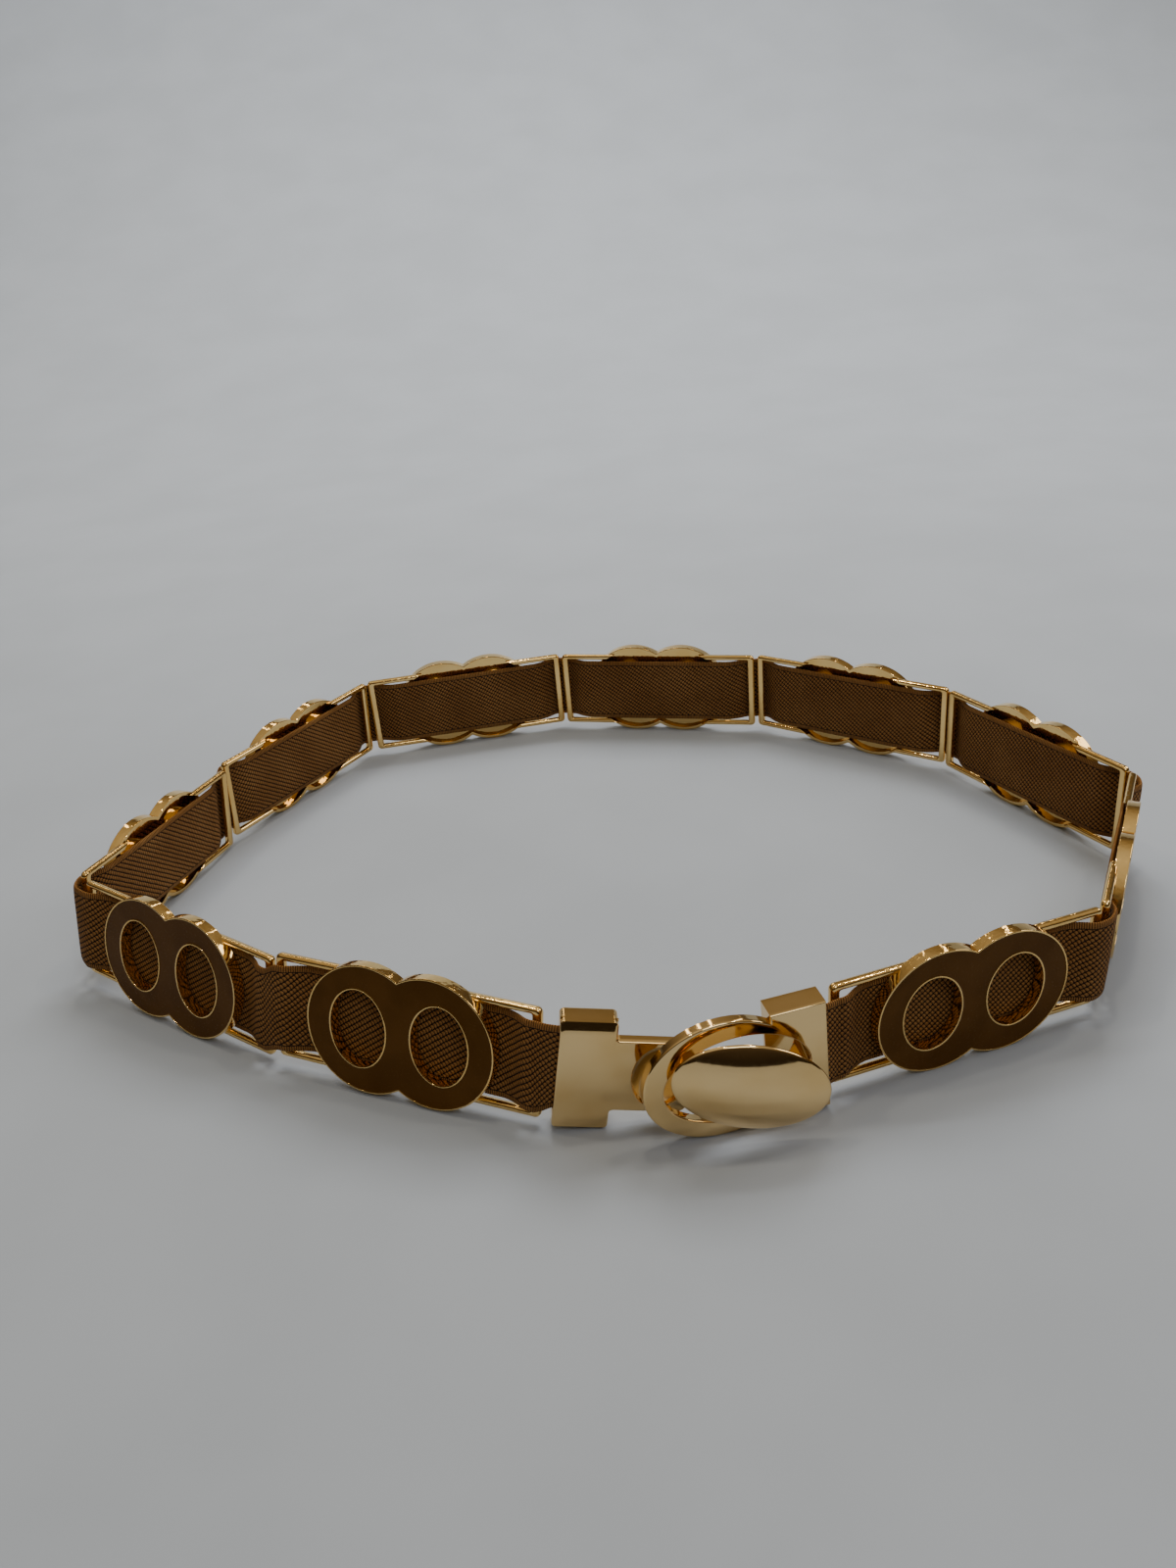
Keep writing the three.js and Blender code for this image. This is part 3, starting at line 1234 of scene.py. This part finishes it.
@dataclass(frozen=True)
class RingHalf:
    """Block and oval ring with one flat face, whose opening runs on into the block as a pocket.

    The sizes are in millimetres from the block's lower outer corner.
    """

    block: ClaspBlock = ClaspBlock()
    centre: Point = (-26.8, 16.5)
    width: float = 39.8
    height: float = 33.6
    thickness: float = 2.7
    opening_centre: Point = (-23.2, 15.8)
    opening_width: float = 37.0
    opening_height: float = 24.2
    opening_depth: float = 5.4
    opening_steps: int = 112
    edge: float = 0.45
    arc_steps: int = 84

    def arc(self, centre: Point, width: float, height: float, line: float, left: bool) -> list[Point]:
        """Works out an ellipse's points on one side of an upright line, from top to bottom.

        Args:
            centre: Middle of the ellipse.
            width: Full width.
            height: Full height.
            line: Where the upright line crosses it.
            left: True for the part to the left of the line.

        Returns:
            The points, both ends on the line.
        """
        cut = math.acos((line - centre[0]) / (width / 2))
        start, end = (cut, 2 * math.pi - cut) if left else (cut, -cut)
        points = []
        for k in range(self.arc_steps + 1):
            angle = start + (end - start) * k / self.arc_steps
            points.append((centre[0] + width / 2 * math.cos(angle), centre[1] + height / 2 * math.sin(angle)))
        return points

    def draft(self) -> Draft:
        """Draws the whole ring half.

        Returns:
            Its draft.
        """
        draft = Draft()
        block = self.block
        left, top, slot = -block.width, block.height, block.slot(-1)
        front, back = -block.slot_behind_face, block.slot_back()
        ring_arc = self.arc(self.centre, self.width, self.height, left, True)
        outline = [(0, top), (left, top), *ring_arc, (left, 0), (0, 0)]
        hole = (self.opening_width, self.opening_height)
        opening = Loop.oval(*hole, self.opening_centre, steps=self.opening_steps).reverse()
        draft.press([Loop(outline), opening], slab_profile(front, 0, front_edge=self.edge))
        draft.press([Loop([*outline, *slot]), opening], slab_profile(-self.thickness, front))
        notch = self.arc(self.opening_centre, *hole, left, False)
        pocket = [(0, top), (left, top), *notch, (left, 0), (0, 0)]
        draft.press([Loop([*pocket, *slot])], slab_profile(back, -self.thickness))
        draft.press([Loop(pocket)], slab_profile(-self.opening_depth, back))
        body = Loop([(left, 0), (0, 0), (0, top), (left, top)])
        draft.press([body], slab_profile(-block.depth, -self.opening_depth, self.edge))
        return draft

    def build(self, wardrobe: Wardrobe) -> Matrix:
        """Builds and dresses the ring half.

        Args:
            wardrobe: The finishes.

        Returns:
            Its placing.
        """
        draft = self.draft()
        place = RING_STAND.place(draft)
        wardrobe.dress(draft.build("ring_half", place), Finish.CLASP_GOLD, "clasp_ring")
        return place


# Band


@dataclass(frozen=True)
class Stop:
    """A point on the band's way, with the direction of its width and the way ahead."""

    middle: Vector
    up: Vector
    ahead: Vector

    @classmethod
    def on(cls, place: Matrix, across: float, out: float, up: float) -> Stop:
        """Makes the stop at a point in the frame of a placed piece."""
        turn = place.to_3x3()
        return cls(place @ Vector((across, -out, up)), turn @ Vector((0, 0, 1)), turn @ Vector((1, 0, 0)))

    def bend_to(self, after: Stop) -> Stop:
        """Makes the stop that rounds the bend to the next one, pushed outward as on an arc.

        Args:
            after: The next stop.

        Returns:
            The stop between the two.
        """
        chord = after.middle - self.middle
        rise = math.tan(self.ahead.angle(after.ahead) / 4) / 2
        up = (self.up + after.up).normalized()
        return Stop(self.middle + chord / 2 + chord.cross(up) * rise, up, chord.normalized())


@dataclass(frozen=True)
class Band:
    """The woven elastic band, carried along one smooth curve and standing on its edge.

    The sizes are in millimetres. The route gives (across, outward) points past the right half of
    each link, from behind the plate out over the post, and the left half mirrors it. The section
    follows half a turn up each face, less the share turned at both ends, and squareness is the
    power that rounds its edges. A cord swells each face by a share of its thickness, a little way
    in from the selvedge.
    """

    width: float = 25.0
    thickness: float = 1.3
    clearance: float = 0.3
    step: float = 0.75
    across_steps: int = 26
    turned: float = 0.03
    squareness: int = 8
    cord_swell: float = 0.12
    cord_inset: float = 0.9
    cord_spread: float = 0.7
    route: tuple[Point, ...] = ((26.0, -0.8), (28.9, -0.7), (32.3, 0.5), (36.0, 2.5), (38.2, 2.6))

    def stops(self, ring: Matrix, links: Sequence[Matrix], hook: Matrix, block: ClaspBlock) -> list[Stop]:
        """Works out the stops from the ring half's block round to the hook half's.

        Args:
            ring: The ring half's placing.
            links: The links' placings.
            hook: The hook half's placing.
            block: The clasp block.

        Returns:
            The stops in order.
        """
        out = -(block.slot_behind_face + self.clearance + self.thickness / 2)
        inside = block.slot_depth - self.clearance
        stops = [Stop.on(ring, across, out, block.slot_middle) for across in (-inside, 0)]
        route = [*((-across, away) for across, away in reversed(self.route)), *self.route]
        for place in links:
            passing = [Stop.on(place, across, away, 0) for across, away in route]
            stops += [stops[-1].bend_to(passing[0]), *passing]
        entering = Stop.on(hook, 0, out, block.slot_middle)
        stops += [stops[-1].bend_to(entering), entering, Stop.on(hook, inside, out, block.slot_middle)]
        return stops

    @staticmethod
    def between(points: Sequence[Vector], i: int, share: float) -> Vector:
        """Works out a point of the centripetal curve through the stops.

        Args:
            points: All the stops' middles.
            i: The stretch after this stop.
            share: How far along the stretch, from 0 to 1.

        Returns:
            The point.
        """
        p1, p2 = points[i], points[i + 1]
        p0 = points[i - 1] if i else 2 * p1 - p2
        p3 = points[i + 2] if i + 2 < len(points) else 2 * p2 - p1
        t1 = math.sqrt((p1 - p0).length)
        t2 = t1 + math.sqrt((p2 - p1).length)
        t3 = t2 + math.sqrt((p3 - p2).length)
        t = t1 + (t2 - t1) * share
        a1 = p0 * ((t1 - t) / t1) + p1 * (t / t1)
        a2 = p1 * ((t2 - t) / (t2 - t1)) + p2 * ((t - t1) / (t2 - t1))
        a3 = p2 * ((t3 - t) / (t3 - t2)) + p3 * ((t - t2) / (t3 - t2))
        b1 = a1 * ((t2 - t) / t2) + a2 * (t / t2)
        b2 = a2 * ((t3 - t) / (t3 - t1)) + a3 * ((t - t1) / (t3 - t1))
        return b1 * ((t2 - t) / (t2 - t1)) + b2 * ((t - t1) / (t2 - t1))

    def section(self) -> list[Point]:
        """Works out the section, whose faces swell along the selvedges and whose edges are rounded.

        Returns:
            (outward, up) rows: up the outer face, then down the inner one.
        """
        half, thick = self.width / 2, self.thickness / 2
        rows = []
        for side in (1, -1):
            for k in range(self.across_steps + 1):
                share = self.turned + (1 - 2 * self.turned) * k / self.across_steps
                up = -side * half * math.cos(math.pi * share)
                edge = math.sqrt(max(1 - (up / half) ** self.squareness, 0.0))
                cord = math.exp(-(((half - abs(up)) - self.cord_inset) / self.cord_spread) ** 2)
                rows.append((side * thick * edge * (1 + self.cord_swell * cord), up))
        return rows

    def stations(self, stops: Sequence[Stop]) -> list[tuple[Vector, Vector]]:
        """Works out where the section is repeated along the curve.

        Args:
            stops: The stops on its way.

        Returns:
            The middle and the upward direction of each section.
        """
        points = [stop.middle for stop in stops]
        stations = []
        for i in range(len(stops) - 1):
            count = max(1, round((points[i + 1] - points[i]).length / self.step))
            for k in range(count):
                up = stops[i].up.lerp(stops[i + 1].up, k / count).normalized()
                stations.append((self.between(points, i, k / count), up))
        return [*stations, (points[-1], stops[-1].up)]

    def mesh(self, stations: Sequence[tuple[Vector, Vector]]) -> tuple[bpy.types.Mesh, float]:
        """Makes the band's mesh, with its surface coordinates in millimetres along and across.

        Args:
            stations: The middle and the upward direction of each section.

        Returns:
            The mesh, and its length in millimetres.
        """
        section = self.section()
        count, ends = len(section), len(stations) - 1
        vertices, along = [], [0.0]
        for n, (middle, up) in enumerate(stations):
            before, after = stations[max(n - 1, 0)][0], stations[min(n + 1, ends)][0]
            outward = (after - before).cross(up).normalized()
            vertices += [(middle + outward * out + up * rise) * MM for out, rise in section]
            if n:
                along.append(along[-1] + (middle - before).length)
        faces = []
        for n in range(ends):
            for k in range(count):
                j = (k + 1) % count
                a, b = n * count, (n + 1) * count
                faces.append((a + k, b + k, b + j, a + j))
        faces += [tuple(range(count)), tuple(ends * count + k for k in reversed(range(count)))]
        mesh = bpy.data.meshes.new("band")
        mesh.from_pydata(vertices, [], faces)
        weave = mesh.uv_layers.new(name="weave")
        for loop in mesh.loops:
            n, k = divmod(loop.vertex_index, count)
            weave.data[loop.index].uv = (along[n], section[k][1])
        for polygon in mesh.polygons:
            polygon.use_smooth = True
        return mesh, along[-1]

    def build(self, stops: Sequence[Stop], wardrobe: Wardrobe) -> float:
        """Args:
            stops: The stops on its way.
            wardrobe: The finishes.

        Returns:
            The band's length in millimetres.
        """
        mesh, length = self.mesh(self.stations(stops))
        piece = add_object("band", mesh)
        wardrobe.dress(piece, Finish.WEBBING, "webbing")
        return length


# Studio


SOFT_WHITE: Colour = (1.0, 0.96, 0.88)
WARM_GLOW: Colour = (1.0, 0.86, 0.62)


@dataclass(frozen=True)
class Lamp:
    """A soft rectangular lamp, in metres and watts."""

    name: str
    place: Place
    size: tuple[float, float]
    watts: float
    tint: Colour
    aim: Place = (0.0, 0.0, 0.0)
    glossy: bool = True

    def build(self) -> None:
        """Hangs the lamp, seen in polished metal only where it is glossy."""
        data = bpy.data.lights.new(self.name, "AREA")
        data.shape = "RECTANGLE"
        data.size, data.size_y = self.size
        data.energy, data.color = self.watts, self.tint
        lamp = add_object(self.name, data)
        lamp.location = self.place
        lamp.rotation_euler = (Vector(self.aim) - Vector(self.place)).to_track_quat("-Z", "Y").to_euler()
        lamp.visible_glossy = self.glossy

    def build_row(self, spots: Iterable[float]) -> None:
        """Hangs copies of the lamp side by side, at their places across."""
        for i, across in enumerate(spots, start=1):
            replace(self, name=f"{self.name}_{i}", place=(across, *self.place[1:])).build()


@dataclass(frozen=True)
class Studio:
    """Camera, floor and soft light.

    The camera's eye and sensor are in millimetres, its pitch and roll are in degrees, and its focal
    length is in pixels of a picture tall_px high. Its near limit and the floor are in metres, and
    the floor rises behind by an angle in radians. The sky's stops give its colour by the height of
    the view, from the horizon up. Strips and sparks are small lamps whose mirror images make the
    glints on the gold.
    """

    eye: Place = (-4.96, -354.14, 217.7)
    pitch: float = 27.05
    roll: float = -5.27
    focal_px: float = 1277.8
    tall_px: float = 1600.0
    sensor: float = 36.0
    near: float = 0.01
    floor_front: float = -0.42
    floor_back: float = 0.55
    floor_width: float = 14.0
    rise_radius: float = 1.6
    rise_angle: float = 1.2
    rise_steps: int = 24
    sky_strength: float = 0.6
    sky_stops: tuple[tuple[float, Colour], ...] = (
        (0.0, (0.035, 0.026, 0.018)),
        (0.35, (0.11, 0.08, 0.05)),
        (0.62, (0.40, 0.31, 0.19)),
        (1.0, (0.95, 0.86, 0.70)),
    )
    lamps: tuple[Lamp, ...] = (
        Lamp(
            "top_light",
            place=(0.2, 0.8, 1.15),
            size=(0.7, 0.45),
            watts=9.0,
            tint=SOFT_WHITE,
            aim=(0.0, 0.05, 0.0),
            glossy=False,
        ),
        Lamp("side_light", place=(1.1, 0.3, 0.8), size=(0.5, 0.5), watts=3.2, tint=(1.0, 0.95, 0.9)),
        Lamp("front_light", place=(0.3, -0.8, 0.95), size=(0.45, 0.45), watts=2.3, tint=(0.94, 0.96, 1.0)),
        Lamp(
            "back_light",
            place=(0.0, 0.7, 1.6),
            size=(1.4, 0.5),
            watts=30.0,
            tint=SOFT_WHITE,
            aim=(0.0, 2.0, 0.5),
            glossy=False,
        ),
    )
    strip: Lamp = Lamp("strip", place=(0.0, 1.25, 1.1), size=(0.045, 0.5), watts=0.5, tint=WARM_GLOW)
    strip_spots: tuple[float, ...] = (-0.75, -0.4, -0.08, 0.6)
    spark: Lamp = Lamp("spark", place=(0.0, 0.1, 1.3), size=(0.07, 0.07), watts=1.4, tint=WARM_GLOW)
    spark_spots: tuple[float, ...] = (-0.5, 0.05, 0.6)

    def camera(self) -> None:
        """Makes the camera at the photograph's angle."""
        data = bpy.data.cameras.new("camera")
        data.sensor_width = self.sensor
        data.lens = self.sensor * self.focal_px / self.tall_px
        data.clip_start = self.near
        camera = add_object("camera", data)
        pitch, roll = math.radians(self.pitch), math.radians(self.roll)
        down = Vector((0, -math.sin(pitch), -math.cos(pitch)))
        side = Vector((1, 0, 0))
        right = side * math.cos(roll) - down * math.sin(roll)
        below = side * math.sin(roll) + down * math.cos(roll)
        turn = Matrix((right, -below, right.cross(-below))).transposed()
        camera.matrix_world = Matrix.Translation(Vector(self.eye) * MM) @ turn.to_4x4()
        bpy.context.scene.camera = camera

    def floor(self) -> None:
        """Makes the floor, a wide sweep that rises softly behind the belt."""
        rows = [(self.floor_front, 0.0), (self.floor_back, 0.0)]
        for k in range(1, self.rise_steps + 1):
            angle = self.rise_angle * k / self.rise_steps
            back, up = self.rise_radius * math.sin(angle), self.rise_radius * (1 - math.cos(angle))
            rows.append((self.floor_back + back, up))
        vertices = [(side * self.floor_width / 2, y, z) for y, z in rows for side in (-1, 1)]
        faces = [(k, k + 1, k + 3, k + 2) for k in range(0, len(vertices) - 2, 2)]
        mesh = bpy.data.meshes.new("floor")
        mesh.from_pydata(vertices, [], faces)
        for polygon in mesh.polygons:
            polygon.use_smooth = True
        mesh.materials.append(PaleFloor().make())
        add_object("floor", mesh)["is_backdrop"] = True

    def sky(self) -> None:
        """Makes a world that is dark at the horizon and paler overhead."""
        bench = Bench(bpy.data.worlds.new("studio"))
        spot = bench.node("ShaderNodeTexCoord", {}, {}).outputs["Generated"]
        height = bench.node("ShaderNodeSeparateXYZ", {}, {0: spot}).outputs[2]
        shade = bench.node("ShaderNodeValToRGB", {"stops": self.sky_stops}, {0: height}).outputs[0]
        glow = bench.node("ShaderNodeBackground", {}, {0: shade, 1: self.sky_strength}).outputs[0]
        bench.node("ShaderNodeOutputWorld", {}, {"Surface": glow})
        bpy.context.scene.world = bench.owner

    def build(self) -> None:
        """Builds the studio."""
        self.camera()
        self.floor()
        self.sky()
        for lamp in self.lamps:
            lamp.build()
        self.strip.build_row(self.strip_spots)
        self.spark.build_row(self.spark_spots)


def corners(box: Iterable[Iterable[float]]) -> list[list[float]]:
    """Returns a box's two corners as plain lists."""
    return [[float(value) for value in corner] for corner in box]


def main() -> None:
    """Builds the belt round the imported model, and its studio."""
    logging.basicConfig(level=logging.INFO, format="%(name)s: %(message)s")
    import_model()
    solids = corners(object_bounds())
    Studio().build()
    wardrobe = Wardrobe()
    links = Link().build(wardrobe)
    hook_half, ring_half = HookHalf(), RingHalf()
    hook, ring = hook_half.build(wardrobe), ring_half.build(wardrobe)
    band = Band()
    length = band.build(band.stops(ring, links, hook, hook_half.block), wardrobe)
    LOG.info("band length %.0f mm", length)
    {"cad": solids, "visual": corners(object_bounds())}


if __name__ == "__main__":
    main()
